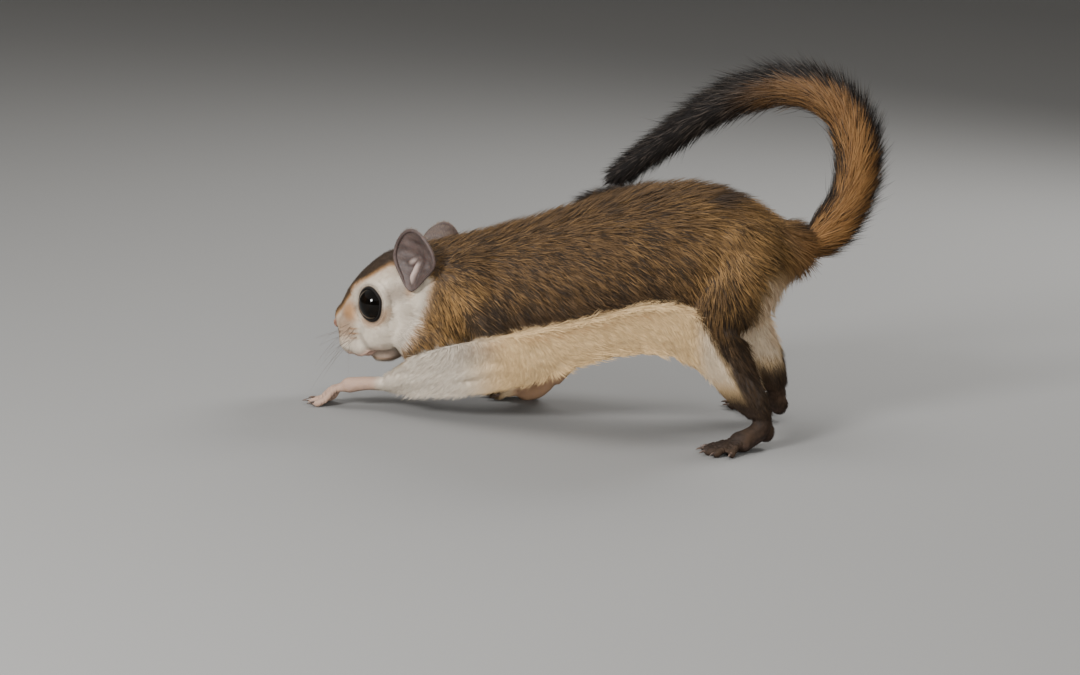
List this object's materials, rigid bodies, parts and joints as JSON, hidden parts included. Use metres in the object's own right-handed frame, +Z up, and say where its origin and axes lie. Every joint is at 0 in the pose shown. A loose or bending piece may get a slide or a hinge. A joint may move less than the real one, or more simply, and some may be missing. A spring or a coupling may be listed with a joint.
{
  "type": "flying squirrel",
  "caption": "Life-size still model of a northern flying squirrel stretching forward on level ground, tail curled over its back.",
  "frame": {"origin": "middle of the whole model's footprint box, on the ground under the paws", "axes": "+X from the nose to the rump, +Y to the animal's right, +Z up"},
  "size_m": [0.1826, 0.0778, 0.1199],
  "materials": {
    "back_fur": "short dense fur, cinnamon brown ticked with black",
    "face_fur": "very short fur, grey-white cheeks under a brown crown",
    "belly_fur": "short cream fur",
    "foreleg_fur": "short grey-white fur",
    "hindleg_fur": "short dark grey-brown fur",
    "foot_fur": "thin dark fur over skin",
    "paw_skin": "nearly bare pinkish skin, satin",
    "ear_skin": "thin bare grey-mauve skin, satin",
    "eye": "wet black, high gloss",
    "tail_fur": "longer soft fur, cinnamon",
    "tail_end_fur": "longer soft fur, blackish grey",
    "claw": "horn, satin",
    "whisker": "stiff single hair"
  },
  "bodies": {
    "root": {"chest": "back_fur", "ear_left": "ear_skin", "ear_right": "ear_skin", "eye_left": "eye", "eye_right": "eye", "foreleg_left": "foreleg_fur", "foreleg_right": "foreleg_fur", "forepaw_left": "paw_skin", "forepaw_right": "paw_skin", "head": "face_fur", "hindleg_left": "hindleg_fur", "hindleg_right": "hindleg_fur", "hindpaw_left": "foot_fur", "hindpaw_right": "foot_fur", "loin": "back_fur", "membrane_left": "belly_fur", "membrane_right": "belly_fur", "neck": "back_fur", "tail_1": "tail_fur", "tail_2": "tail_fur", "tail_3": "tail_fur", "tail_4": "tail_end_fur", "tail_5": "tail_end_fur"}
  },
  "joints": []
}
